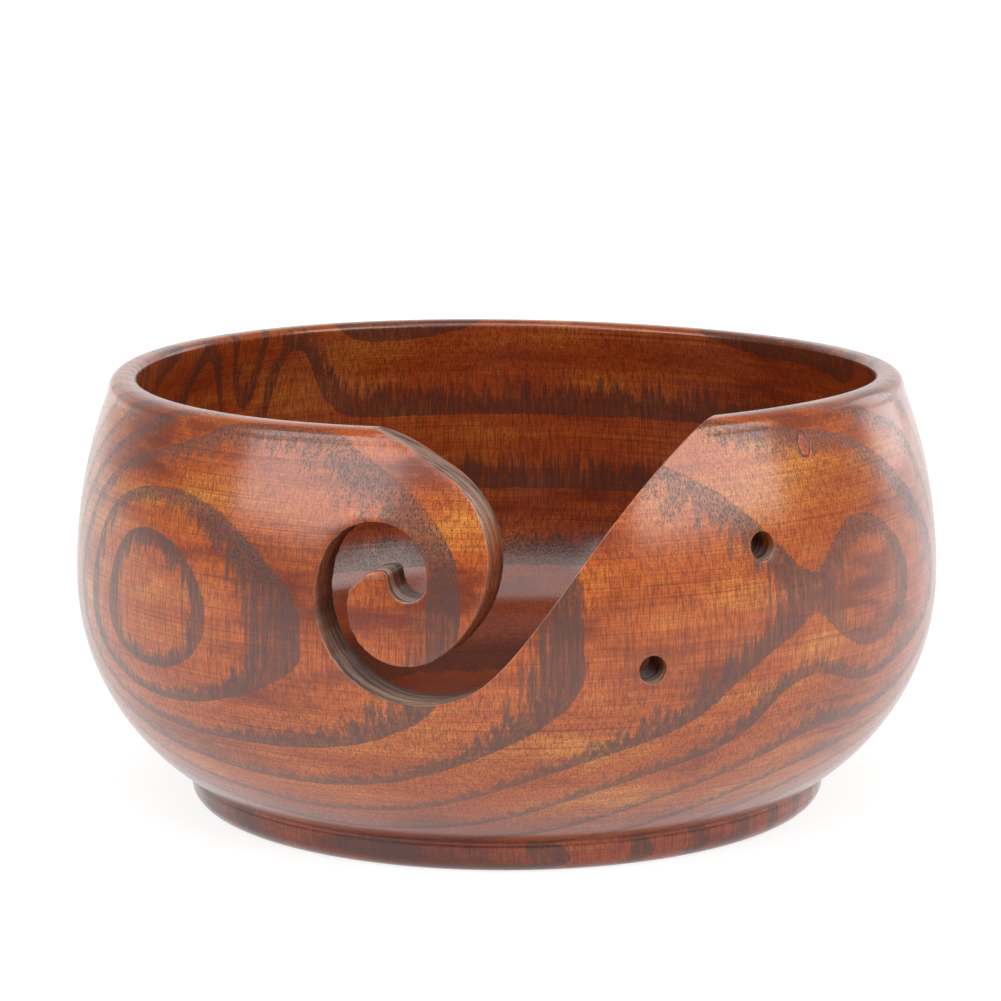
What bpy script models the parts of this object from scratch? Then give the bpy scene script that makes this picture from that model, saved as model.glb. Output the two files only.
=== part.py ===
"""Yarn bowl: a round-bellied wooden bowl on a low foot, turned from one block of wood.

A scroll-shaped yarn slot runs down from the rim and curls into an eye, and two small
holes are drilled through the wall beside it for the tips of needles or crochet hooks.
The axis of turning is +Z, the foot stands on z = 0, and the slot faces -Y.
"""
import math

import bmesh
import bpy
from mathutils import Vector

MM = 0.001

# Outside, in metres. The belly is two arcs that meet upright where it is widest: a tight
# one down to the top of the foot, and a slack one up to the lip.
FOOT_RADIUS = 56.5 * MM
FOOT_EDGE = 3.0 * MM
BELLY_RADIUS = 76.0 * MM
BELLY_HEIGHT = 40.5 * MM
LOWER_CURVE = 41.5 * MM
UPPER_CURVE = 90.0 * MM
BELLY_TOP = 73.0 * MM

# The lip: a slightly domed top with a soft outer edge and a tighter inner edge.
LIP = [
    (69.4 * MM, 74.9 * MM),
    (68.3 * MM, 75.8 * MM),
    (66.8 * MM, 76.0 * MM),
    (65.5 * MM, 75.8 * MM),
    (64.8 * MM, 75.0 * MM),
]

# Inside, from the lip down to the middle of the floor.
HOLLOW = [
    (64.9 * MM, 74.2 * MM),
    (66.7 * MM, 66.0 * MM),
    (67.8 * MM, 55.0 * MM),
    (68.0 * MM, 43.0 * MM),
    (66.6 * MM, 32.0 * MM),
    (62.4 * MM, 23.0 * MM),
    (54.6 * MM, 16.8 * MM),
    (43.0 * MM, 13.4 * MM),
    (28.0 * MM, 12.2 * MM),
]
FLOOR_HEIGHT = 12.0 * MM

# A shallow recess turned under the foot leaves a flat ring to stand on.
RECESS_RADIUS = 47.0 * MM
RECESS_DEPTH = 1.2 * MM

# The yarn slot is sawn straight through the wall along one direction. Its outline is
# drawn looking along that direction: across is to the right, and up is the height.
SLOT_AZIMUTH = math.radians(-20.0)
SCROLL_CENTRE = (12.0 * MM, 49.7 * MM)
SCROLL_RADIUS = 16.9 * MM
SCROLL_START = math.radians(-45.0)
EYE_RADIUS = 8.9 * MM
EYE_BEARING = math.radians(156.6)
NOTCH_RADIUS = 3.0 * MM
NOTCH_BEARING = math.radians(-4.0)
TONGUE_RADIUS = 9.5 * MM
TONGUE_CENTRE = (10.2 * MM, 48.6 * MM)
THROAT_RADIUS = 17.6 * MM
THROAT_BEARING = math.radians(-52.0)
TIP_CORNERS = [(6.7 * MM, 54.2 * MM), (4.9 * MM, 54.2 * MM)]
THROAT_CURVE = [
    (33.85 * MM, 47.65 * MM),
    (42.5 * MM, 69.0 * MM),
    (55.0 * MM, 80.5 * MM),
]
LEFT_OF_MOUTH = [(8.3 * MM, 73.7 * MM), (-4.0 * MM, 78.2 * MM), (-4.0 * MM, 80.5 * MM)]

# Drilled holes: azimuth to the right of -Y, and height.
HOLE_RADIUS = 2.25 * MM
HOLES = [
    (math.radians(17.7), 38.1 * MM),
    (math.radians(33.2), 55.9 * MM),
]

TURNING_STEPS = 112
WOOD_COLOUR = (0.36, 0.115, 0.035, 1.0)


def smooth(points, steps):
    """Points along a Catmull-Rom curve through the given points, ends included."""
    pts = [Vector(p) for p in points]
    first = pts[0] * 2 - pts[1]
    last = pts[-1] * 2 - pts[-2]
    pts = [first] + pts + [last]
    curve = []
    for a, b, c, d in zip(pts, pts[1:], pts[2:], pts[3:]):
        for i in range(steps):
            t = i / steps
            curve.append(
                0.5 * (2 * b + (c - a) * t + (2 * a - 5 * b + 4 * c - d) * t ** 2
                       + (3 * b - a - 3 * c + d) * t ** 3)
            )
    return curve + [pts[-2]]


def arc(centre, radius, start, end, steps):
    """Points on an arc from one angle to another, both included."""
    angles = [start + (end - start) * i / steps for i in range(steps + 1)]
    return [Vector(centre) + radius * Vector((math.cos(a), math.sin(a))) for a in angles]


def bezier(p0, p1, p2, p3, steps):
    """Points on a cubic Bezier curve, both ends included."""
    p0, p1, p2, p3 = Vector(p0), Vector(p1), Vector(p2), Vector(p3)
    curve = []
    for i in range(steps + 1):
        t = i / steps
        s = 1 - t
        curve.append(p0 * s ** 3 + p1 * 3 * s * s * t + p2 * 3 * s * t * t + p3 * t ** 3)
    return curve


def polar(radius, angle):
    return Vector((radius * math.cos(angle), radius * math.sin(angle)))


def slot_outline():
    """The outline of the yarn slot, from the right of its mouth round to the left."""
    scroll = Vector(SCROLL_CENTRE)
    eye = scroll + polar(SCROLL_RADIUS - EYE_RADIUS, EYE_BEARING)
    notch = eye + polar(EYE_RADIUS - NOTCH_RADIUS, NOTCH_BEARING)
    tongue = Vector(TONGUE_CENTRE)
    throat = tongue - polar(THROAT_RADIUS - TONGUE_RADIUS, THROAT_BEARING)
    full_turn = 2 * math.pi

    outer = bezier(scroll + polar(SCROLL_RADIUS, SCROLL_START), *THROAT_CURVE, 12)[::-1]
    outer += arc(scroll, SCROLL_RADIUS, SCROLL_START, EYE_BEARING - full_turn, 22)[1:]
    outer += arc(eye, EYE_RADIUS, EYE_BEARING, NOTCH_BEARING, 14)[1:]
    outer += arc(notch, NOTCH_RADIUS, NOTCH_BEARING, math.radians(-170.0), 7)[1:]

    inner = [Vector(p) for p in TIP_CORNERS]
    inner += arc(tongue, TONGUE_RADIUS, math.radians(165.0), THROAT_BEARING + full_turn, 14)
    inner += arc(throat, THROAT_RADIUS, THROAT_BEARING, math.radians(58.0), 14)[1:]
    inner += [Vector(p) for p in LEFT_OF_MOUTH]
    return outer + inner


def new_object(name, bm, smooth_shading=True):
    bmesh.ops.recalc_face_normals(bm, faces=bm.faces)
    for face in bm.faces:
        face.smooth = smooth_shading
    mesh = bpy.data.meshes.new(name)
    bm.to_mesh(mesh)
    bm.free()
    obj = bpy.data.objects.new(name, mesh)
    bpy.context.collection.objects.link(obj)
    return obj


def turned(name, profile, steps):
    """A solid of revolution about +Z from a profile that starts and ends on the axis."""
    bm = bmesh.new()
    verts = [bm.verts.new((radius, 0.0, height)) for radius, height in profile]
    edges = [bm.edges.new(pair) for pair in zip(verts, verts[1:])]
    bmesh.ops.spin(
        bm,
        geom=verts + edges,
        axis=(0, 0, 1),
        cent=(0, 0, 0),
        angle=2 * math.pi,
        steps=steps,
        use_merge=True,
    )
    bmesh.ops.remove_doubles(bm, verts=bm.verts, dist=1e-6)
    return new_object(name, bm)


def as_cutter(obj):
    obj.hide_render = True
    obj.display_type = "WIRE"
    return obj


def slot_cutter(name, outline, azimuth, start, end):
    """The outline pushed through the wall, between two distances along the sawing direction."""
    across = Vector((math.cos(azimuth), math.sin(azimuth), 0.0))
    inward = Vector((-math.sin(azimuth), math.cos(azimuth), 0.0))
    up = Vector((0.0, 0.0, 1.0))
    bm = bmesh.new()
    verts = [bm.verts.new(across * p.x + up * p.y + inward * start) for p in outline]
    front = bm.faces.new(verts)
    extruded = bmesh.ops.extrude_face_region(bm, geom=[front])
    moved = [v for v in extruded["geom"] if isinstance(v, bmesh.types.BMVert)]
    bmesh.ops.translate(bm, verts=moved, vec=inward * (end - start))
    return as_cutter(new_object(name, bm, smooth_shading=False))


def hole_cutter(name, azimuth, height, radius, start, end):
    """A cylinder that points at the axis of the bowl."""
    bm = bmesh.new()
    bmesh.ops.create_cone(
        bm,
        cap_ends=True,
        segments=28,
        radius1=radius,
        radius2=radius,
        depth=end - start,
    )
    cutter = as_cutter(new_object(name, bm, smooth_shading=False))
    outward = Vector((math.sin(azimuth), -math.cos(azimuth), 0.0))
    cutter.rotation_euler = outward.to_track_quat("Z", "Y").to_euler()
    cutter.location = outward * (start + end) / 2 + Vector((0.0, 0.0, height))
    return cutter


def cut(obj, cutter):
    modifier = obj.modifiers.new(cutter.name, "BOOLEAN")
    modifier.operation = "DIFFERENCE"
    modifier.solver = "EXACT"
    modifier.object = cutter


def wood_material():
    material = bpy.data.materials.new("lacquered_wood")
    material.use_nodes = True
    shader = material.node_tree.nodes["Principled BSDF"]
    shader.inputs["Base Color"].default_value = WOOD_COLOUR
    shader.inputs["Roughness"].default_value = 0.35
    shader.inputs["Metallic"].default_value = 0.0
    return material


def belly():
    """The outside wall, from the top of the foot up to where the lip starts."""
    lower = (BELLY_RADIUS - LOWER_CURVE, BELLY_HEIGHT)
    upper = (BELLY_RADIUS - UPPER_CURVE, BELLY_HEIGHT)
    start = -math.acos((FOOT_RADIUS - lower[0]) / LOWER_CURVE)
    end = math.asin((BELLY_TOP - BELLY_HEIGHT) / UPPER_CURVE)
    return arc(lower, LOWER_CURVE, start, 0.0, 10) + arc(upper, UPPER_CURVE, 0.0, end, 7)[1:]


def bowl_profile():
    """Half of the bowl's section, from the middle of the base round to the floor inside."""
    profile = [(0.0, RECESS_DEPTH), (RECESS_RADIUS, RECESS_DEPTH)]
    profile += [(RECESS_RADIUS + 1.5 * MM, 0.0)]
    edge_centre = (FOOT_RADIUS - FOOT_EDGE, FOOT_EDGE)
    profile += arc(edge_centre, FOOT_EDGE, -math.pi / 2, 0.0, 4)
    profile += belly()
    profile += LIP
    profile += smooth(HOLLOW, 2)
    profile += [(0.0, FLOOR_HEIGHT)]
    return [tuple(point) for point in profile]


def main():
    for obj in list(bpy.data.objects):
        bpy.data.objects.remove(obj, do_unlink=True)

    bowl = turned("bowl", bowl_profile(), TURNING_STEPS)
    bowl.data.materials.append(wood_material())

    reach = BELLY_RADIUS + 15 * MM
    cut(bowl, slot_cutter("slot_cutter", slot_outline(), SLOT_AZIMUTH, -reach, -30 * MM))
    for number, (azimuth, height) in enumerate(HOLES, start=1):
        name = f"hole_cutter_{number}"
        cut(bowl, hole_cutter(name, azimuth, height, HOLE_RADIUS, 50 * MM, reach))


main()
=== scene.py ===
"""The looks of the yarn bowl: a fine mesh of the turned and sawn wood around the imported
frame, a solid wood material with real growth rings, and a plain white studio."""
import math

import bmesh
import bpy
import numpy as np
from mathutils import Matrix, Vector
from mathutils.geometry import delaunay_2d_cdt


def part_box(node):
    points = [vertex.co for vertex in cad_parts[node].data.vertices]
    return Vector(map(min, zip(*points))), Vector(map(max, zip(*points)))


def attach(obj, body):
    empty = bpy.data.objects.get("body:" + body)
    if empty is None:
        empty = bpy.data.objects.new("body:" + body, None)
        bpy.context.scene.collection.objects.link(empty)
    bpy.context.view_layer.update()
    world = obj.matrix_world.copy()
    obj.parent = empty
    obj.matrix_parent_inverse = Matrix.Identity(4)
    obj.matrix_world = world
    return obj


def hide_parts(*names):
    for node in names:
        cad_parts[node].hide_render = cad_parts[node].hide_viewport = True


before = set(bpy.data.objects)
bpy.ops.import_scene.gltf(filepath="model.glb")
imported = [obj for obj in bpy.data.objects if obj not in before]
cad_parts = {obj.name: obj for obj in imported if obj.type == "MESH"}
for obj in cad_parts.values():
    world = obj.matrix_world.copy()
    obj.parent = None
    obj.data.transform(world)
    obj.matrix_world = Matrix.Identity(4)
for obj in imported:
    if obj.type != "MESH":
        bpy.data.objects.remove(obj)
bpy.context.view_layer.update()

# ---------------------------------------------------------------- sizes, in millimetres

FOOT_RADIUS = 56.5
FOOT_EDGE = 3.0
RECESS_RADIUS = 47.0
RECESS_DEPTH = 1.2
CREST = 76.0
FLOOR_HEIGHT = 12.0

# The belly is two arcs that meet upright where it is widest.
BELLY_RADIUS = 76.0
BELLY_HEIGHT = 40.5
LOWER_CURVE = 41.5
UPPER_CURVE = 90.0
BELLY_TOP = 73.0

# One millimetre in the frame's own measure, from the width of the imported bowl.
BOX_LOW, BOX_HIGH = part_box("bowl")
MM = (BOX_HIGH[0] - BOX_LOW[0]) / (2 * BELLY_RADIUS)

# (radius, height) over the lip and down the inside.
LIP = [(69.4, 74.9), (68.3, 75.8), (66.8, 76.0), (65.5, 75.8), (64.8, 75.0)]
HOLLOW = [(64.9, 74.2), (66.7, 66.0), (67.8, 55.0), (68.0, 43.0), (66.6, 32.0),
          (62.4, 23.0), (54.6, 16.8), (43.0, 13.4), (28.0, 12.2), (14.0, 12.0)]

# The yarn slot, drawn looking along the direction it is sawn in: (across, height).
SLOT_AZIMUTH = math.radians(-20.0)
SCROLL_CENTRE = (12.0, 49.7)
SCROLL_RADIUS = 16.9
SCROLL_START = math.radians(-45.0)
EYE_RADIUS = 8.9
EYE_BEARING = math.radians(156.6)
NOTCH_RADIUS = 3.0
NOTCH_BEARING = math.radians(-4.0)
TONGUE_CENTRE = (10.2, 48.6)
TONGUE_RADIUS = 9.5
THROAT_RADIUS = 17.6
THROAT_BEARING = math.radians(-52.0)
TIP_CORNERS = [(6.7, 54.2), (4.9, 54.2)]
THROAT_CURVE = [(33.85, 47.65), (42.5, 69.0), (55.0, 80.5)]
LEFT_OF_MOUTH = [(8.3, 73.7), (-4.0, 78.2)]

HOLE_RADIUS = 2.25
HOLES = [(math.radians(17.7), 38.1), (math.radians(33.2), 55.9)]

# How finely the mesh is made.
TURN_STEPS = 300
PROFILE_STEP = 1.35
FINE_STEP = 0.45
OUTLINE_STEP = 0.75
HOLE_POINTS = 40
# The foot and the belly meet in a groove this deep.
GROOVE = 0.15
# The parts of the belly's arcs, in radians, that are meshed finely.
FINE_UNDER = 0.28
FINE_OVER = 0.06
# Slot and hole edges are rounded this wide, in so many rows, and sawn faces have so many
# rows between. The saw left ridges, and its line wavers.
EDGE_WIDTH = 0.30
EDGE_ROWS = 3
CUT_ROWS = 14
RIDGE = 0.16
WAVER = 0.04
# The piece of wall that holds the openings is triangulated anew: its two bearings in
# degrees, its lower edge, the radius that it is flattened at, and the room left round
# the openings.
PATCH_AZIMUTH = (-31.2, 42.0)
PATCH_HEIGHT = 27.0
PATCH_SCALE = 70.0
PATCH_ROOM = 0.55
# The wall lies above these heights, outside and inside. Wood this far or farther behind
# the outside takes the full painted shade of the hollow.
OUTSIDE_FROM = 14.5
INSIDE_FROM = 23.0
INSIDE_DEPTH = 5.0

# The rim has moved up and down by this much as the wood dried.
RIM_WARP = 0.5
RIM_WARP_AZIMUTH = math.radians(4.0)

# ------------------------------------------------------------ growth rings, millimetres

# The rings are evenly wide. At the front they are circles about a pith that lies behind
# the axis, and towards the back the trunk leans, so that they run nearly level.
RING_WIDTH = 4.0
PITH_AZIMUTH = math.radians(160.0)
PITH_DISTANCE = 45.0
LEAN_FROM, LEAN_TO = -12.0, 24.0
BACK_LEVEL, BACK_HEIGHT, BACK_SLOPE = 21.0, 46.0, 0.27
# Knots bend the rings round themselves: (azimuth, height, length round, height of the
# swelling, how far it moves the rings inwards).
SWELLS = [
    (-60, 44, 27, 19, 14.5),
    (-64, 46, 13, 12, -3.8),
    (-46, 44, 9, 14, 0.6),
    (-60, 62, 22, 12, 2.5),
    (-35, 76, 28, 14, 4.0),
    (-12, 52, 14, 14, 1.0),
    (70, 44, 30, 20, 22.0),
    (62, 44, 14, 14, -5.6),
    (54, 46, 11, 11, 4.0),
    (5, 42, 30, 26, -4.5),
    (20, 16, 42, 10, -3.0),
    (50, 70, 24, 14, 6.5),
    (78, 74, 24, 16, 13.0),
    (36, 60, 12, 12, -1.5),
    (43, 44, 7, 10, -0.8),
    (30, 52, 14, 12, 2.0),
    (40, 31, 14, 8, -3.0),
    (75, 20, 30, 10, 5.0),
    (-142, 72, 9, 20, -4.0),
    (-122, 72, 9, 20, -4.0),
    (-132, 66, 6, 14, 4.0),
    (165, 78, 26, 8, -3.0),
]
# Where the stain took lighter or darker: (azimuth, height, length round, height of the
# spot, strength), positive for gold and negative for deep red.
STAIN_SPOTS = [
    (-43, 63, 16, 4, 0.9),
    (-58, 67, 14, 4, -1.8),
    (-52, 73, 18, 2, -0.4),
    (-28, 62, 12, 8, 0.4),
    (-5, 62, 7, 5, 0.9),
    (-8, 70, 9, 3, -0.9),
    (-7, 50, 9, 7, -0.6),
    (-27, 49, 7, 8, -0.6),
    (17, 64, 10, 3, 0.8),
    (12, 58, 12, 2, -0.5),
    (14, 50, 14, 4, 0.3),
    (38, 63, 12, 6, 0.7),
    (56, 66, 10, 4, 0.9),
    (52, 73, 14, 3, -0.7),
    (30, 30, 16, 4, 0.5),
    (-45, 47, 9, 9, 0.2),
    # This spot makes the foot darker towards its bottom edge, across the front.
    (0, 2, 90, 3, -0.6),
    (-138, 62, 26, 16, 0.9),
]
# Where the rings' dark starts are fainter, as spots of the same kind.
FAINT_SPOTS = [
    (52, 48, 16, 20, 0.45),
    (5, 16, 60, 7, 0.25),
]


# ------------------------------------------------------------------------- curves

def smooth(points, step):
    """A smooth curve through the points, sampled about every step."""
    pts = [np.array(p, float) for p in points]
    gaps = [np.linalg.norm(b - a) for a, b in zip(pts, pts[1:])]
    slopes = [(b - a) / g for a, b, g in zip(pts, pts[1:], gaps)]
    tangents = [slopes[0]]
    for i in range(1, len(pts) - 1):
        share = gaps[i] / (gaps[i - 1] + gaps[i])
        tangents.append(slopes[i - 1] * share + slopes[i] * (1 - share))
    tangents.append(slopes[-1])
    curve = []
    for a, b, ta, tb, gap in zip(pts, pts[1:], tangents, tangents[1:], gaps):
        count = max(1, round(gap / step))
        for i in range(count):
            t = i / count
            curve.append(
                a * (2 * t ** 3 - 3 * t ** 2 + 1) + ta * gap * (t ** 3 - 2 * t ** 2 + t)
                + b * (3 * t ** 2 - 2 * t ** 3) + tb * gap * (t ** 3 - t ** 2)
            )
    return curve + [pts[-1]]


def polar(radius, angle):
    return np.array([radius * math.cos(angle), radius * math.sin(angle)])


def arc(centre, radius, start, end, step):
    """Points about a step apart on an arc from one angle to another, ends included."""
    count = max(2, round(abs(end - start) * radius / step))
    angles = [start + (end - start) * i / count for i in range(count + 1)]
    return [np.array(centre) + polar(radius, a) for a in angles]


def bezier(p0, p1, p2, p3, count):
    """Points on a cubic Bezier curve, both ends included."""
    p0, p1, p2, p3 = (np.array(p, float) for p in (p0, p1, p2, p3))
    curve = []
    for i in range(count + 1):
        t = i / count
        s = 1 - t
        curve.append(p0 * s ** 3 + p1 * 3 * s * s * t + p2 * 3 * s * t * t + p3 * t ** 3)
    return curve


def resample(points, step):
    """The same line with its points evenly about a step apart."""
    pts = np.array(points)
    along = np.concatenate([[0], np.cumsum(np.linalg.norm(np.diff(pts, axis=0), axis=1))])
    at = np.linspace(0, along[-1], max(2, round(along[-1] / step) + 1))
    return [np.array([np.interp(a, along, pts[:, 0]), np.interp(a, along, pts[:, 1])])
            for a in at]


# ---------------------------------------------------------------------- the profile

def bowl_profile():
    """The section from the middle of the base round to the middle of the floor."""
    base = smooth([(0.0, RECESS_DEPTH), (RECESS_RADIUS - 1, RECESS_DEPTH)], PROFILE_STEP)
    ring = smooth([(RECESS_RADIUS - 0.3, RECESS_DEPTH - 0.1), (RECESS_RADIUS + 0.6, 0.5),
                   (RECESS_RADIUS + 1.5, 0.05), (RECESS_RADIUS + 2.2, 0.0)], FINE_STEP)
    edge = arc((FOOT_RADIUS - FOOT_EDGE, FOOT_EDGE), FOOT_EDGE, -math.pi / 2, 0.0, FINE_STEP)
    lower = (BELLY_RADIUS - LOWER_CURVE, BELLY_HEIGHT)
    upper = (BELLY_RADIUS - UPPER_CURVE, BELLY_HEIGHT)
    start = -math.acos((FOOT_RADIUS + GROOVE - lower[0]) / LOWER_CURVE)
    end = math.asin((BELLY_TOP - BELLY_HEIGHT) / UPPER_CURVE)
    joint = BELLY_HEIGHT + LOWER_CURVE * math.sin(start)
    wall = smooth([(FOOT_RADIUS, FOOT_EDGE), (FOOT_RADIUS, joint - 0.6),
                   (FOOT_RADIUS - GROOVE, joint - 0.2)], FINE_STEP)
    under = arc(lower, LOWER_CURVE, start, start + FINE_UNDER, FINE_STEP)
    body = arc(lower, LOWER_CURVE, start + FINE_UNDER, 0.0, PROFILE_STEP)[1:]
    body += arc(upper, UPPER_CURVE, 0.0, end - FINE_OVER, PROFILE_STEP)[1:]
    body += arc(upper, UPPER_CURVE, end - FINE_OVER, end, FINE_STEP)[1:]
    lip = smooth([body[-1], *LIP, HOLLOW[0], HOLLOW[1]], FINE_STEP)
    inside = smooth(HOLLOW[1:], PROFILE_STEP)
    floor = smooth([HOLLOW[-1], (0.0, FLOOR_HEIGHT)], PROFILE_STEP)
    return np.array(base + ring + edge[1:] + wall[1:] + under + body + lip[1:]
                    + inside[1:] + floor[1:])


PROFILE = bowl_profile()
ALONG = np.concatenate([[0], np.cumsum(np.linalg.norm(np.diff(PROFILE, axis=0), axis=1))])
CREST_ROW = int(np.argmax(PROFILE[:, 1]))
CREST_ALONG = ALONG[CREST_ROW]
OUTSIDE_ROW = int(np.argmax(PROFILE[:, 1] > OUTSIDE_FROM))
INSIDE_ROW = CREST_ROW + int(np.argmax(PROFILE[CREST_ROW:, 1] < INSIDE_FROM))


def radius_at(along):
    return np.interp(along, ALONG, PROFILE[:, 0])


def height_at(along):
    return np.interp(along, ALONG, PROFILE[:, 1])


def surface(azimuth, along):
    """A point on the turned surface. Azimuth 0 is the front, -Y, and grows to the right."""
    r = radius_at(along)
    return np.stack([r * np.sin(azimuth), -r * np.cos(azimuth), height_at(along)], axis=-1)


def along_outside(height):
    rows = slice(OUTSIDE_ROW, CREST_ROW + 1)
    return np.interp(height, PROFILE[rows, 1], ALONG[rows])


def along_inside(height):
    rows = slice(CREST_ROW, INSIDE_ROW)
    return np.interp(-height, -PROFILE[rows, 1], ALONG[rows])


# ---------------------------------------------------------------- the slot and the holes

def slot_outline():
    """The slot's outline from the right of its mouth, round the eye, to the left of it."""
    scroll = np.array(SCROLL_CENTRE)
    eye = scroll + polar(SCROLL_RADIUS - EYE_RADIUS, EYE_BEARING)
    notch = eye + polar(EYE_RADIUS - NOTCH_RADIUS, NOTCH_BEARING)
    tongue = np.array(TONGUE_CENTRE)
    throat = tongue - polar(THROAT_RADIUS - TONGUE_RADIUS, THROAT_BEARING)
    turn = 2 * math.pi

    right = bezier(scroll + polar(SCROLL_RADIUS, SCROLL_START), *THROAT_CURVE, 60)[::-1]
    outer = resample(right, OUTLINE_STEP)
    outer += arc(scroll, SCROLL_RADIUS, SCROLL_START, EYE_BEARING - turn, OUTLINE_STEP)[1:]
    outer += arc(eye, EYE_RADIUS, EYE_BEARING, NOTCH_BEARING, OUTLINE_STEP)[1:]
    outer += arc(notch, NOTCH_RADIUS, NOTCH_BEARING, math.radians(-165.0), 0.5)[1:]
    inner = arc(tongue, TONGUE_RADIUS, math.radians(165.0), THROAT_BEARING + turn,
                OUTLINE_STEP)
    tip = smooth([outer[-1], TIP_CORNERS[0], TIP_CORNERS[1], inner[0]], 0.45)
    inner += arc(throat, THROAT_RADIUS, THROAT_BEARING, math.radians(58.0), OUTLINE_STEP)[1:]
    left = smooth([inner[-1], *LEFT_OF_MOUTH], OUTLINE_STEP)
    return outer + tip[1:-1] + inner + left[1:]


def trim_to_crest(outline):
    """Cut the outline off where it leaves the lip, with points close together there."""
    pts = np.array(outline)
    middle = len(pts) // 2
    near = 2.5
    ease = [CREST - near * (1 - t) ** 2 for t in np.linspace(0, 1, 9)]
    right = pts[:middle][::-1]
    left = pts[middle:]
    halves = []
    for half in (right, left):
        stop = int(np.where(half[:, 1] > CREST - near)[0][0])
        rest = half[stop - 1:]
        tail = [np.array([np.interp(h, rest[:, 1], rest[:, 0]), h]) for h in ease]
        head = list(half[:stop])
        if np.linalg.norm(head[-1] - tail[0]) < 0.2:
            del head[-1]
        halves.append(head + tail)
    return np.array(halves[0][::-1] + halves[1])


ACROSS = np.array([math.cos(SLOT_AZIMUTH), math.sin(SLOT_AZIMUTH), 0.0])
INWARD = np.array([-math.sin(SLOT_AZIMUTH), math.cos(SLOT_AZIMUTH), 0.0])
UP = np.array([0.0, 0.0, 1.0])


def slot_loop():
    """The closed edge of the slot as (azimuth, along), and the sawn face's normal there."""
    line = trim_to_crest(slot_outline())
    at = np.arange(len(line)) * OUTLINE_STEP
    # The saw's line wavers on the left of the slot, and well below the lip.
    waver = np.sin(at * 2.9) + np.sin(at * 1.7 + 1.0) + np.sin(at * 4.3 + 2.0)
    ends = np.clip(np.minimum(at, at[::-1]) / 6.0 - 1.0, 0, 1)
    ends = ends * np.clip((10.0 - line[:, 0]) / 8.0, 0, 1)
    slope = np.gradient(line, axis=0)
    slope /= np.linalg.norm(slope, axis=1)[:, None]
    line += np.stack([slope[:, 1], -slope[:, 0]], axis=1) * (WAVER * waver * ends)[:, None]
    step = np.gradient(line, axis=0)
    step /= np.linalg.norm(step, axis=1)[:, None]
    # The opening lies on the right of the outline as it is walked.
    facing = step[:, 1, None] * ACROSS - step[:, 0, None] * UP
    outside = along_outside(line[:, 1])
    inside = along_inside(line[:, 1])
    outside[0] = outside[-1] = inside[0] = inside[-1] = CREST_ALONG
    turn_out = SLOT_AZIMUTH + np.arcsin(line[:, 0] / radius_at(outside))
    turn_in = SLOT_AZIMUTH + np.arcsin(line[:, 0] / radius_at(inside))
    loop = np.concatenate([
        np.stack([turn_out, outside], axis=1),
        np.stack([turn_in, inside], axis=1)[1:-1][::-1],
    ])
    normals = np.concatenate([facing, facing[1:-1][::-1]])
    return loop, normals, len(line)


def hole_loop(azimuth, height, inside):
    """One mouth of a drilled hole as (azimuth, along), and the bore's normal there."""
    angle = np.arange(HOLE_POINTS) * 2 * math.pi / HOLE_POINTS
    side = HOLE_RADIUS * np.cos(angle)
    level = height + HOLE_RADIUS * np.sin(angle)
    along = along_inside(level) if inside else along_outside(level)
    turn = azimuth + np.arcsin(side / radius_at(along))
    right = np.array([math.cos(azimuth), math.sin(azimuth), 0.0])
    normals = -(np.cos(angle)[:, None] * right + np.sin(angle)[:, None] * UP)
    return np.stack([turn, along], axis=1), normals


# ------------------------------------------------------------------------ the mesh

class Shell:
    """Vertices and faces of the bowl, with how sawn each vertex is and how far along the
    profile it lies. Vertices that are given no such place take the crest's."""

    def __init__(self):
        self.points = []
        self.sawn = []
        self.along = []
        self.faces = []

    def add(self, points, sawn, along=None):
        first = len(self.points)
        self.points.extend(points)
        self.sawn.extend([sawn] * len(points))
        self.along.extend([CREST_ALONG] * len(points) if along is None else along)
        return list(range(first, first + len(points)))

    def strip(self, row_a, row_b):
        """Faces between two closed rows of the same length."""
        count = len(row_a)
        for i in range(count):
            j = (i + 1) % count
            self.faces.append((row_a[i], row_a[j], row_b[j], row_b[i]))


def offset_loop(loop, width):
    """Move a loop away from the opening it surrounds, along the turned surface."""
    r = radius_at(loop[:, 1])
    flat = np.stack([loop[:, 0] * r, loop[:, 1]], axis=1)
    step = np.roll(flat, -1, axis=0) - np.roll(flat, 1, axis=0)
    step /= np.linalg.norm(step, axis=1)[:, None]
    area = np.sum(flat[:, 0] * np.roll(flat[:, 1], -1) - np.roll(flat[:, 0], -1) * flat[:, 1])
    out = np.stack([step[:, 1], -step[:, 0]], axis=1) * np.sign(area)
    moved = loop.copy()
    moved[:, 0] += out[:, 0] * width / r
    moved[:, 1] += out[:, 1] * width
    return moved


def rounded_edge(shell, loop, normals, inward):
    """Rows of points that round an edge over, from the turned surface to the sawn face.

    inward says which way the sawn face runs at the loop's points of the outer surface.
    """
    edge = surface(loop[:, 0], loop[:, 1])
    start = surface(*offset_loop(loop, EDGE_WIDTH).T)
    run = np.roll(edge, -1, axis=0) - np.roll(edge, 1, axis=0)
    into = np.cross(normals, run)
    into /= np.linalg.norm(into, axis=1)[:, None]
    # A quarter of the way round, the slot's loop is on the outer surface.
    probe = len(loop) // 4
    if into[probe] @ inward < 0:
        into = -into
    end = edge + into * EDGE_WIDTH
    rows = [shell.add(start, 0.0, loop[:, 1])]
    for k in range(1, EDGE_ROWS + 1):
        t = k / EDGE_ROWS
        points = start * (1 - t) ** 2 + edge * 2 * t * (1 - t) + end * t ** 2
        rows.append(shell.add(points, t, loop[:, 1]))
    for a, b in zip(rows, rows[1:]):
        shell.strip(a, b)
    return rows[0], rows[-1]


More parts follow.
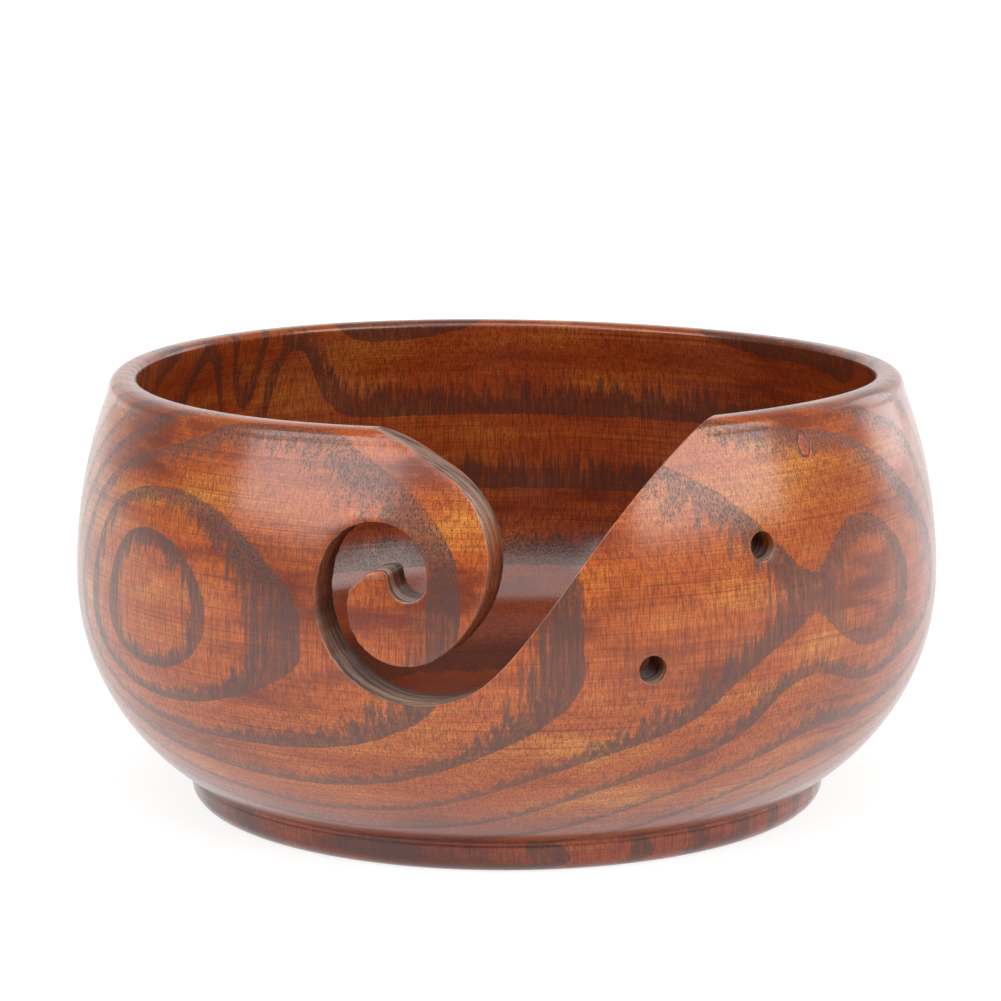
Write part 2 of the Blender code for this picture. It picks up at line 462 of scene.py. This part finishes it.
def between(shell, row_a, row_b):
    """Fill from one closed row to another with straight rows of the sawn face."""
    a = np.array([shell.points[i] for i in row_a])
    b = np.array([shell.points[i] for i in row_b])
    last = row_a
    for k in range(1, CUT_ROWS):
        row = shell.add(a + (b - a) * k / CUT_ROWS, 1.0)
        shell.strip(last, row)
        last = row
    shell.strip(last, row_b)


def saw_ridges(row, count):
    """How deep one row of a sawn face is worn, along its length."""
    at = np.arange(count) * OUTLINE_STEP
    deep = (math.sin(row * 2.3) + 0.6 * np.sin(row * 4.1 + at * 0.09)
            + 0.5 * np.sin(row * 1.3 - at * 0.31))
    ends = np.minimum(1.0, np.minimum(at, at[::-1]) / 4.0)
    return RIDGE * ends * (0.5 + 0.5 * np.clip(deep, -1.2, 1.2) / 1.2)


def inside_polygon(points, polygon):
    x, y = points[:, 0], points[:, 1]
    inside = np.zeros(len(points), bool)
    ax, ay = polygon[:, 0], polygon[:, 1]
    bx, by = np.roll(ax, -1), np.roll(ay, -1)
    for x0, y0, x1, y1 in zip(ax, ay, bx, by):
        if y0 == y1:
            continue
        crosses = (y0 > y) != (y1 > y)
        inside ^= crosses & (x < (x1 - x0) * (y - y0) / (y1 - y0) + x0)
    return inside


class Patch:
    """The piece of the turned surface, in the grid's rows and columns, with the openings."""

    def __init__(self):
        self.step = 360.0 / TURN_STEPS
        self.first = round(PATCH_AZIMUTH[0] / self.step)
        self.last = round(PATCH_AZIMUTH[1] / self.step)
        self.low = int(np.searchsorted(ALONG, along_outside(PATCH_HEIGHT)))
        self.high = int(np.searchsorted(ALONG, along_inside(PATCH_HEIGHT)))

    def holds(self, row, column):
        return self.low <= row < self.high and self.first <= column < self.last

    def on_border(self, row, column):
        return row in (self.low, self.high) or column in (self.first, self.last)

    def border(self, grid):
        """The grid's vertices round the patch, in order."""
        columns = range(self.first, self.last + 1)
        rim = [grid[self.low, c % TURN_STEPS] for c in columns]
        rim += [grid[j, self.last % TURN_STEPS] for j in range(self.low + 1, self.high + 1)]
        rim += [grid[self.high, c % TURN_STEPS] for c in columns[::-1][1:]]
        rim += [grid[j, self.first % TURN_STEPS]
                for j in range(self.high - 1, self.low, -1)]
        return rim


def add_turned_surface(shell, patch):
    """The turned surface as a grid, with one point at each end of the axis."""
    turn = np.arange(TURN_STEPS) * 2 * math.pi / TURN_STEPS
    rows = len(PROFILE)
    grid = np.zeros((rows, TURN_STEPS), int)
    grid[0, :] = shell.add(surface(np.zeros(1), ALONG[:1]), 0.0)[0]
    for j in range(1, rows - 1):
        level = np.full(TURN_STEPS, ALONG[j])
        grid[j] = shell.add(surface(turn, level), 0.0, level)
    grid[-1, :] = shell.add(surface(np.zeros(1), ALONG[-1:]), 0.0)[0]

    for j in range(rows - 1):
        for i in range(TURN_STEPS):
            k = (i + 1) % TURN_STEPS
            signed = i if i < TURN_STEPS // 2 else i - TURN_STEPS
            if patch.holds(j, signed):
                continue
            corners = [grid[j, i], grid[j, k], grid[j + 1, k], grid[j + 1, i]]
            if j == 0:
                corners = corners[1:]
            if j == rows - 2:
                corners = corners[:3]
            shell.faces.append(tuple(corners))
    return grid


def add_slot(shell):
    """The slot's rounded edge and ridged sawn face. Gives the ring round it, as a list."""
    loop, normals, count = slot_loop()
    surface_row, cut_row = rounded_edge(shell, loop, normals, INWARD)
    outer_half = cut_row[:count]
    inner_half = [cut_row[0]] + cut_row[count:][::-1] + [cut_row[count - 1]]
    a = np.array([shell.points[i] for i in outer_half])
    b = np.array([shell.points[i] for i in inner_half])
    last_row = outer_half
    for k in range(1, CUT_ROWS + 1):
        if k < CUT_ROWS:
            row_points = a + (b - a) * k / CUT_ROWS
            row_points -= normals[:count] * saw_ridges(k, count)[:, None]
            middle = shell.add(row_points[1:-1], 1.0)
            row = [outer_half[0]] + middle + [outer_half[-1]]
        else:
            row = inner_half
        for i in range(count - 1):
            quad = [last_row[i], last_row[i + 1], row[i + 1], row[i]]
            face = tuple(dict.fromkeys(quad))
            if len(face) > 2:
                shell.faces.append(face)
        last_row = row
    return [(offset_loop(loop, EDGE_WIDTH), surface_row)]


def add_hole(shell, azimuth, height):
    """One drilled hole, with both its edges rounded. Gives the rings round them."""
    outward = np.array([math.sin(azimuth), -math.cos(azimuth), 0.0])
    outer_loop, outer_normals = hole_loop(azimuth, height, inside=False)
    inner_loop, inner_normals = hole_loop(azimuth, height, inside=True)
    outer_rim, outer_cut = rounded_edge(shell, outer_loop, outer_normals, -outward)
    inner_rim, inner_cut = rounded_edge(shell, inner_loop, inner_normals, outward)
    between(shell, outer_cut, inner_cut)
    return [(offset_loop(outer_loop, EDGE_WIDTH), outer_rim),
            (offset_loop(inner_loop, EDGE_WIDTH), inner_rim)]


def fill_patch(shell, patch, grid, rings):
    """Triangulate the patch between its border and the rings round the openings."""
    ring_points = np.concatenate([
        np.stack([ring[:, 0] * PATCH_SCALE, ring[:, 1]], axis=1) for ring, _ in rings])
    ids = [index for _, row in rings for index in row]
    edges = []
    polygons = []
    start = 0
    for _, row in rings:
        n = len(row)
        edges += [(start + i, start + (i + 1) % n) for i in range(n)]
        polygons.append(ring_points[start:start + n])
        start += n

    border = []
    inner_nodes = []
    for j in range(patch.low, patch.high + 1):
        for column in range(patch.first, patch.last + 1):
            node = (math.radians(column * patch.step) * PATCH_SCALE, ALONG[j])
            index = grid[j, column % TURN_STEPS]
            group = border if patch.on_border(j, column) else inner_nodes
            group.append((node, index))
    nodes = np.array([node for node, _ in inner_nodes])
    keep = np.ones(len(nodes), bool)
    for polygon in polygons:
        keep &= ~inside_polygon(nodes, polygon)
    batch = 2000
    for i in range(0, len(nodes), batch):
        gap = np.linalg.norm(nodes[i:i + batch, None] - ring_points[None], axis=2)
        keep[i:i + batch] &= gap.min(axis=1) > PATCH_ROOM
    used = border + [entry for entry, k in zip(inner_nodes, keep) if k]
    points = list(ring_points) + [node for node, _ in used]
    ids += [index for _, index in used]

    where = {index: position for position, index in enumerate(ids)}
    rim = patch.border(grid)
    edges += [(where[a], where[b]) for a, b in zip(rim, rim[1:] + rim[:1])]

    result = delaunay_2d_cdt([Vector((x, y)) for x, y in points], edges, [], 1, 1e-5)
    out_points, _, out_faces, origins = result[:4]
    centres = np.array([np.mean([out_points[v] for v in f], axis=0) for f in out_faces])
    wanted = np.ones(len(out_faces), bool)
    for polygon in polygons:
        wanted &= ~inside_polygon(centres, polygon)
    for face, ok in zip(out_faces, wanted):
        if ok:
            shell.faces.append(tuple(ids[origins[v][0]] for v in face))


def build_shell():
    shell = Shell()
    patch = Patch()
    grid = add_turned_surface(shell, patch)
    rings = add_slot(shell)
    for azimuth, height in HOLES:
        rings += add_hole(shell, azimuth, height)
    fill_patch(shell, patch, grid, rings)
    return shell


# ------------------------------------------------------------------- growth-ring field

def spots(points, places):
    """The sum of soft oval spots on the wall."""
    azimuth = np.arctan2(points[:, 0], -points[:, 1])
    spread = np.zeros(len(points))
    for centre, height, length, tall, strength in places:
        turn = azimuth - math.radians(centre)
        turn = np.arctan2(np.sin(turn), np.cos(turn)) * BELLY_RADIUS
        spread += strength * np.exp(-(turn / length) ** 2
                                    - ((points[:, 2] - height) / tall) ** 2)
    return spread


def ring_distance(points):
    """How far out each point is across the rings. One ring is RING_WIDTH wide."""
    pith = np.array([math.sin(PITH_AZIMUTH), -math.cos(PITH_AZIMUTH)]) * PITH_DISTANCE
    front = np.linalg.norm(points[:, :2] - pith, axis=1) - PITH_DISTANCE
    back = BACK_LEVEL + BACK_SLOPE * (points[:, 2] - BACK_HEIGHT)
    share = np.clip((points[:, 1] - LEAN_FROM) / (LEAN_TO - LEAN_FROM), 0, 1)
    share = share * share * (3 - 2 * share)
    return front * (1 - share) + back * share + spots(points, SWELLS)


def depth_in_wall(points):
    """0 on the outside of the wall, rising to 1 at INSIDE_DEPTH behind it."""
    rows = slice(OUTSIDE_ROW, CREST_ROW)
    outside = np.interp(points[:, 2], PROFILE[rows, 1], PROFILE[rows, 0])
    return np.clip((outside - np.hypot(points[:, 0], points[:, 1])) / INSIDE_DEPTH, 0, 1)


def make_bowl():
    """The whole bowl as one closed mesh, with what its material needs at each vertex."""
    shell = build_shell()
    points = np.array(shell.points)
    used = np.unique(np.concatenate([np.array(f) for f in shell.faces]))
    new_index = np.full(len(points), -1)
    new_index[used] = np.arange(len(used))
    points = points[used]
    faces = [tuple(int(new_index[v]) for v in f) for f in shell.faces]
    across_rings = ring_distance(points)
    inside = depth_in_wall(points)
    # The rings grew before the rim moved, and the stain's spots are where it is now.
    azimuth = np.arctan2(points[:, 0], -points[:, 1])
    points[:, 2] += (RIM_WARP * np.sin(2 * (azimuth - RIM_WARP_AZIMUTH))
                     * np.clip(points[:, 2] / CREST, 0, 1) ** 3)
    attributes = {
        "across_rings": across_rings,
        "stain": spots(points, STAIN_SPOTS),
        "faint": spots(points, FAINT_SPOTS),
        "sawn": np.array(shell.sawn)[used],
        "along": np.array(shell.along)[used],
        "inside": inside,
    }

    mesh = bpy.data.meshes.new("turned_bowl")
    mesh.from_pydata((points * MM).tolist(), [], faces)
    mesh.validate()
    for name, values in attributes.items():
        mesh.attributes.new(name, "FLOAT", "POINT").data.foreach_set("value", values)
    mesh.shade_smooth()
    obj = bpy.data.objects.new("turned_bowl", mesh)
    bpy.context.collection.objects.link(obj)
    bm = bmesh.new()
    bm.from_mesh(mesh)
    bmesh.ops.recalc_face_normals(bm, faces=bm.faces)
    bm.to_mesh(mesh)
    bm.free()
    return obj


# ------------------------------------------------------------------------ materials

class Nodes:
    """Short ways to add shader nodes to one tree."""

    def __init__(self, tree):
        self.tree = tree

    def put(self, kind, inputs=None, **settings):
        node = self.tree.nodes.new(kind)
        for name, value in settings.items():
            setattr(node, name, value)
        for name, value in (inputs or {}).items():
            self.plug(node.inputs[name], value)
        return node

    def plug(self, socket, value):
        if isinstance(value, bpy.types.NodeSocket):
            self.tree.links.new(value, socket)
        else:
            socket.default_value = value

    def math(self, operation, a, b=0.0):
        node = self.put("ShaderNodeMath", operation=operation)
        self.plug(node.inputs[0], a)
        self.plug(node.inputs[1], b)
        return node.outputs[0]

    def span(self, value, low, high, to_low=0.0, to_high=1.0):
        """Ease from to_low to to_high as the value goes from low to high."""
        node = self.put("ShaderNodeMapRange", interpolation_type="SMOOTHSTEP")
        for name, number in (("Value", value), ("From Min", low), ("From Max", high),
                             ("To Min", to_low), ("To Max", to_high)):
            self.plug(node.inputs[name], number)
        return node.outputs[0]

    def noise(self, place, stretch, detail=2.0, roughness=0.5):
        """Noise with so many lumps per millimetre along x, y and z."""
        scaled = self.put("ShaderNodeVectorMath", operation="MULTIPLY")
        self.plug(scaled.inputs[0], place)
        scaled.inputs[1].default_value = stretch
        return self.put("ShaderNodeTexNoise", {
            "Vector": scaled.outputs[0], "Scale": 1.0, "Detail": detail,
            "Roughness": roughness}).outputs[0]

    def attribute(self, name):
        return self.put("ShaderNodeAttribute", attribute_name=name).outputs["Fac"]

    def mix(self, factor, a, b, blend="MIX"):
        node = self.put("ShaderNodeMix", data_type="RGBA", blend_type=blend)
        self.plug(node.inputs[0], factor)
        self.plug(node.inputs[6], a)
        self.plug(node.inputs[7], b)
        return node.outputs[2]


# Linear colours.
DEEP_RED = (0.145, 0.024, 0.006, 1)
RED_ORANGE = (0.45, 0.098, 0.013, 1)
GOLD = (0.62, 0.23, 0.035, 1)
BAND_BROWN = (0.078, 0.031, 0.023, 1)
PORE_GREY = (0.035, 0.022, 0.020, 1)
SAW_TAN = (0.36, 0.26, 0.20, 1)
SAW_DARK = (0.065, 0.030, 0.020, 1)
LINE_RED = (0.11, 0.014, 0.005, 1)
KNOT_RED = (0.36, 0.06, 0.03, 1)
# Painted shade for the hollow, multiplied into the colour inside the bowl.
HOLLOW_PAINTED_SHADE = (0.64, 0.46, 0.36, 1)
# The small knot, in millimetres. Height counts less than width, so it stands tall.
KNOT_PLACE = (48.5, -51.6, 71.2)
KNOT_RADIUS = 1.25
KNOT_SQUASH = 0.55
WOOD_ROUGHNESS = 0.42


def add_knot(n, place, colour):
    """A small knot under the rim, as a crinkled ring."""
    knot = n.put("ShaderNodeVectorMath", operation="MULTIPLY_ADD")
    wander = n.put("ShaderNodeTexNoise", {"Vector": place, "Scale": 0.9, "Detail": 2.0})
    n.plug(knot.inputs[0], wander.outputs["Color"])
    knot.inputs[1].default_value = (0.9, 0.9, 0.9)
    n.plug(knot.inputs[2], place)
    gap = n.put("ShaderNodeVectorMath", operation="SUBTRACT")
    n.plug(gap.inputs[0], knot.outputs[0])
    gap.inputs[1].default_value = KNOT_PLACE
    squashed = n.put("ShaderNodeVectorMath", operation="MULTIPLY")
    n.plug(squashed.inputs[0], gap.outputs[0])
    squashed.inputs[1].default_value = (1.0, 1.0, KNOT_SQUASH)
    length = n.put("ShaderNodeVectorMath", operation="LENGTH")
    n.plug(length.inputs[0], squashed.outputs[0])
    length = length.outputs["Value"]
    rim = n.math("ABSOLUTE", n.math("SUBTRACT", length, KNOT_RADIUS))
    rim = n.span(rim, 0.12, 0.34, 1.0, 0.0)
    colour = n.mix(n.span(length, 0.9, 1.5, 0.45, 0.0), colour, KNOT_RED)
    return n.mix(n.math("MULTIPLY", rim, 0.8), colour, LINE_RED), rim


def add_sawn_look(n, place, height, sawn, colour):
    """Sawn faces are duller, most of all where they face up, and show the wood's layers."""
    parts = n.put("ShaderNodeSeparateXYZ", {"Vector": place}).outputs
    flat = n.put("ShaderNodeCombineXYZ", {"X": parts["X"], "Y": parts["Y"]}).outputs[0]
    radius = n.put("ShaderNodeVectorMath", operation="LENGTH")
    n.plug(radius.inputs[0], flat)
    layer_place = n.put("ShaderNodeCombineXYZ", {
        "X": n.math("MULTIPLY", radius.outputs["Value"], 1.25),
        "Y": n.math("MULTIPLY", parts["X"], 0.07), "Z": n.math("MULTIPLY", height, 0.07)})
    layers = n.noise(layer_place.outputs[0], (1.0, 1.0, 1.0), 4.0, 0.65)
    facing = n.put("ShaderNodeSeparateXYZ", {
        "Vector": n.put("ShaderNodeNewGeometry").outputs["Normal"]}).outputs
    dull = n.math("MULTIPLY", sawn, n.span(facing["Z"], -0.1, 0.8, 0.20, 0.92))
    saw_colour = n.mix(n.span(layers, 0.36, 0.62), SAW_DARK, SAW_TAN)
    colour = n.mix(dull, colour, saw_colour)
    grooves = n.span(layers, 0.36, 0.50, 0.70, 0.0)
    grooves = n.math("MULTIPLY", grooves, n.span(facing["X"], 0.2, 0.8, 1.0, 0.3))
    return n.mix(n.math("MULTIPLY", sawn, grooves), colour, SAW_DARK), layers


def wood_material():
    """The lacquered wood: stain, fibres, turning marks, dark ring zones, pores, and painted
    shade in the hollow.
    """
    material = bpy.data.materials.new("lacquered_wood")
    material.use_nodes = True
    tree = material.node_tree
    shader = tree.nodes["Principled BSDF"]
    n = Nodes(tree)

    place = n.put("ShaderNodeVectorMath", operation="SCALE")
    n.plug(place.inputs[0], n.put("ShaderNodeTexCoord").outputs["Object"])
    place.inputs["Scale"].default_value = 1 / MM
    place = place.outputs[0]
    along = n.attribute("along")
    sawn = n.attribute("sawn")
    inside = n.attribute("inside")

    # How far each point lies, in millimetres, beyond the dark start of its ring.
    ragged = n.math("SUBTRACT", n.noise(place, (0.22, 0.22, 0.10), 3.0, 0.6), 0.5)
    fine = n.math("SUBTRACT", n.noise(place, (1.4, 1.4, 0.30), 1.0), 0.5)
    shift = n.math("ADD", n.math("MULTIPLY", ragged, 0.28), n.math("MULTIPLY", fine, 0.16))
    distance = n.math("ADD", n.attribute("across_rings"), shift)
    depth = n.math("FLOORED_MODULO", distance, RING_WIDTH)

    # The dark zone: dense at the start of the ring, breaking up into streaks.
    height = n.put("ShaderNodeSeparateXYZ", {"Vector": place}).outputs["Z"]
    streak = n.noise(place, (0.95, 0.95, 0.075), 3.0, 0.6)
    reach = n.span(streak, 0.30, 0.70, 0.7, 2.0)
    reach = n.math("MULTIPLY", reach, n.span(height, 5.0, 7.0, 1.0, 0.5))
    reach = n.math("MULTIPLY", reach, n.span(height, 12.0, 32.0, 1.0, 2.0))
    zone = n.span(n.math("SUBTRACT", reach, depth), -0.40, 0.35)
    strength = n.span(height, 50.0, 68.0, 0.92, 0.50)
    strength = n.math("ADD", n.math("MULTIPLY", strength, n.math("SUBTRACT", 1.0, inside)),
                      n.math("MULTIPLY", inside, 0.80))
    fill = n.math("MULTIPLY", zone, strength)
    strand = n.noise(place, (1.6, 1.6, 0.05), 3.0, 0.65)
    fill = n.math("MULTIPLY", fill, n.span(strand, 0.38, 0.58, 0.65, 1.0))
    fill = n.math("MULTIPLY", fill, n.math("SUBTRACT", 1.0, n.attribute("faint")))

    # Open pores run up the wood: short dashes near the rim, long ones on the sides.
    lifted = n.math("MULTIPLY", n.math("MAXIMUM", n.math("SUBTRACT", height, 50.0), 0.0), 0.75)
    pore_place = n.put("ShaderNodeVectorMath", operation="MULTIPLY_ADD")
    n.plug(pore_place.inputs[0], place)
    pore_place.inputs[1].default_value = (3.6, 3.6, 0.42)
    n.plug(pore_place.inputs[2], n.put("ShaderNodeCombineXYZ", {"Z": lifted}).outputs[0])
    cells = n.put("ShaderNodeTexVoronoi", {"Vector": pore_place.outputs[0], "Scale": 1.0})
    crowd = n.span(n.math("SUBTRACT", n.math("ADD", reach, 0.5), depth), -0.6, 1.2, 0.14, 0.46)
    pore = n.span(n.math("SUBTRACT", crowd, cells.outputs["Distance"]), -0.03, 0.09)

    # Blotchy stain: deep red, red orange and gold, drawn out along the turning.
    blotch = n.noise(place, (0.022, 0.022, 0.060), 3.0, 0.55)
    cloud = n.noise(place, (0.05, 0.05, 0.20), 5.0, 0.65)
    stain = n.math("ADD", n.math("MULTIPLY", blotch, 0.45), n.math("MULTIPLY", cloud, 0.55))
    stain = n.math("ADD", stain, n.math("MULTIPLY", n.attribute("stain"), 0.13))
    colour = n.mix(n.span(stain, 0.34, 0.52), DEEP_RED, RED_ORANGE)
    colour = n.mix(n.span(stain, 0.50, 0.68, 0.0, 0.9), colour, GOLD)

    # Fibres up the wood and marks of turning and sanding round it.
    fibre = n.noise(place, (3.6, 3.6, 0.13), 2.0, 0.6)
    colour = n.mix(n.span(fibre, 0.42, 0.66, 0.0, 0.62), colour, LINE_RED)
    fleck = n.noise(pore_place.outputs[0], (1.9, 1.9, 2.4), 1.0, 0.5)
    colour = n.mix(n.span(fleck, 0.46, 0.68, 0.0, 0.55), colour, LINE_RED)
    ring_place = n.put("ShaderNodeCombineXYZ", {"Z": along})
    low = n.put("ShaderNodeVectorMath", operation="MULTIPLY_ADD")
    n.plug(low.inputs[0], place)
    low.inputs[1].default_value = (0.016, 0.016, 0.0)
    n.plug(low.inputs[2], ring_place.outputs[0])
    turned = low.outputs[0]
    lines = n.noise(turned, (1.0, 1.0, 2.4), 2.0, 0.6)
    hair = n.noise(turned, (1.0, 1.0, 6.0), 1.0, 0.5)
    lined = n.span(n.noise(place, (0.03, 0.03, 0.05), 1.0), 0.35, 0.60, 0.25, 1.0)
    colour = n.mix(n.math("MULTIPLY", n.span(lines, 0.54, 0.72, 0.0, 0.60), lined), colour,
                   LINE_RED)
    colour = n.mix(n.span(hair, 0.40, 0.65, 0.0, 0.32), colour, LINE_RED)

    colour = n.mix(fill, colour, BAND_BROWN)
    seen = n.span(height, 44.0, 62.0, 0.28, 0.85)
    seen = n.math("MULTIPLY", seen, n.math("SUBTRACT", 1.0, n.math("MULTIPLY", inside, 0.8)))
    colour = n.mix(n.math("MULTIPLY", pore, seen), colour, PORE_GREY)

    colour, rim_of_knot = add_knot(n, place, colour)
    colour, layers = add_sawn_look(n, place, height, sawn, colour)
    # Painted shade: the colour inside the bowl is darkened.
    painted_hollow_shade = n.mix(1.0, colour, HOLLOW_PAINTED_SHADE, "MULTIPLY")
    colour = n.mix(inside, colour, painted_hollow_shade)
    n.plug(shader.inputs["Base Color"], colour)

    gloss = n.math("ADD", n.math("MULTIPLY", lines, 0.16), n.math("MULTIPLY", pore, 0.12))
    n.plug(shader.inputs["Roughness"], n.math("ADD", gloss, WOOD_ROUGHNESS))
    shader.inputs["Specular IOR Level"].default_value = 0.12
    coat = n.math("SUBTRACT", 1.0, n.math("MULTIPLY", sawn, 0.85))
    n.plug(shader.inputs["Coat Weight"], coat)
    shader.inputs["Coat Roughness"].default_value = 0.19
    shader.inputs["Coat IOR"].default_value = 1.5

    relief = n.math("ADD", n.math("MULTIPLY", lines, 0.35), n.math("MULTIPLY", hair, 0.15))
    relief = n.math("SUBTRACT", relief, n.math("MULTIPLY", pore, 0.8))
    relief = n.math("SUBTRACT", relief, n.math("MULTIPLY", rim_of_knot, 1.5))
    ridge = n.math("MULTIPLY", n.math("MULTIPLY", layers, sawn), 3.0)
    relief = n.math("ADD", relief, ridge)
    bump = n.put("ShaderNodeBump", {"Strength": 0.25, "Distance": 0.00012, "Height": relief})
    n.plug(shader.inputs["Normal"], bump.outputs[0])
    n.plug(shader.inputs["Coat Normal"], bump.outputs[0])
    return material


# The table is a square, so many metres from its middle to each side, and gives off some
# light of its own.
TABLE_HALF = 6.0
TABLE_GLOW = 0.78


def floor_material():
    material = bpy.data.materials.new("white_table")
    material.use_nodes = True
    shader = material.node_tree.nodes["Principled BSDF"]
    shader.inputs["Base Color"].default_value = (0.3, 0.3, 0.3, 1)
    shader.inputs["Roughness"].default_value = 0.9
    shader.inputs["Emission Color"].default_value = (1, 1, 1, 1)
    n = Nodes(material.node_tree)
    place = n.put("ShaderNodeTexCoord").outputs["Object"]
    depth = n.put("ShaderNodeSeparateXYZ", {"Vector": place}).outputs["Y"]
    glow = n.span(depth, 0.1, 1.2, TABLE_GLOW, 1.2)
    n.plug(shader.inputs["Emission Strength"],
           n.math("MULTIPLY", glow, n.span(depth, -0.34, -0.15, 0.35, 1.0)))
    return material


# ---------------------------------------------------------------------- the studio

# The lamps aim at this height. The camera's place is in metres and its turns in radians.
AIM_HEIGHT = 0.04
CAMERA_PLACE = (0.0, -0.600, 0.1617)
CAMERA_YAW, CAMERA_PITCH, CAMERA_ROLL = -0.00176, 0.1806, -0.0028
CAMERA_LENS = 123.5
CAMERA_SENSOR = 36.0


def towards(azimuth, elevation, distance):
    """A place seen from the bowl: azimuth 0 is the front, and grows to the right."""
    a, e = math.radians(azimuth), math.radians(elevation)
    return Vector((math.sin(a) * math.cos(e), -math.cos(a) * math.cos(e),
                   math.sin(e))) * distance


def soft_light(name, azimuth, elevation, distance, size, radiance):
    light = bpy.data.lights.new(name, "AREA")
    light.shape = "RECTANGLE"
    light.size, light.size_y = size
    light.energy = radiance * math.pi * size[0] * size[1]
    obj = bpy.data.objects.new(name, light)
    obj.location = towards(azimuth, elevation, distance)
    aim = Vector((0, 0, AIM_HEIGHT)) - obj.location
    obj.rotation_euler = aim.to_track_quat("-Z", "Y").to_euler()
    bpy.context.collection.objects.link(obj)


def make_studio():
    mesh = bpy.data.meshes.new("table")
    corners = [(x * TABLE_HALF, y * TABLE_HALF, 0)
               for x, y in ((-1, -1), (1, -1), (1, 1), (-1, 1))]
    mesh.from_pydata(corners, [], [(0, 1, 2, 3)])
    table = bpy.data.objects.new("table", mesh)
    table.data.materials.append(floor_material())
    bpy.context.collection.objects.link(table)

    world = bpy.data.worlds.new("studio")
    bpy.context.scene.world = world
    world.use_nodes = True
    n = Nodes(world.node_tree)
    back = world.node_tree.nodes["Background"]
    direction = n.put("ShaderNodeTexCoord").outputs["Generated"]
    parts = n.put("ShaderNodeSeparateXYZ", {"Vector": direction})
    level = n.span(parts.outputs["Y"], 0.25, 0.95, 0.15, 1.0)
    n.plug(back.inputs["Strength"], level)
    back.inputs["Color"].default_value = (1, 1, 1, 1)

    soft_light("softbox_left", -53, 29, 1.1, (0.85, 0.62), 4.4)
    soft_light("softbox_right", 55, 29, 1.1, (0.85, 0.62), 4.7)
    soft_light("overhead", 0, 56, 1.2, (1.0, 1.05), 2.8)
    soft_light("rim_right", 130, 16, 1.3, (0.5, 0.6), 2.0)


def make_camera():
    """The camera that the photograph was taken with, as near as it can be told."""
    data = bpy.data.cameras.new("camera")
    data.sensor_width = CAMERA_SENSOR
    data.lens = CAMERA_LENS
    camera = bpy.data.objects.new("camera", data)
    bpy.context.collection.objects.link(camera)
    camera.location = CAMERA_PLACE
    yaw, pitch, roll = CAMERA_YAW, CAMERA_PITCH, CAMERA_ROLL
    ahead = Vector((math.sin(yaw) * math.cos(pitch), math.cos(yaw) * math.cos(pitch),
                    -math.sin(pitch)))
    level = ahead.to_track_quat("-Z", "Y").to_matrix()
    right, up = level.col[0].copy(), level.col[1].copy()
    turned_right = right * math.cos(roll) + up * math.sin(roll)
    turned_up = up * math.cos(roll) - right * math.sin(roll)
    level.col[0], level.col[1] = turned_right, turned_up
    camera.rotation_euler = level.to_euler()
    bpy.context.scene.camera = camera


# --------------------------------------------------------------------- the whole scene

make_camera()
bowl = make_bowl()
bowl.data.materials.append(wood_material())
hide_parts("bowl")
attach(bowl, "root")
make_studio()
bpy.context.scene.view_settings.view_transform = "Standard"
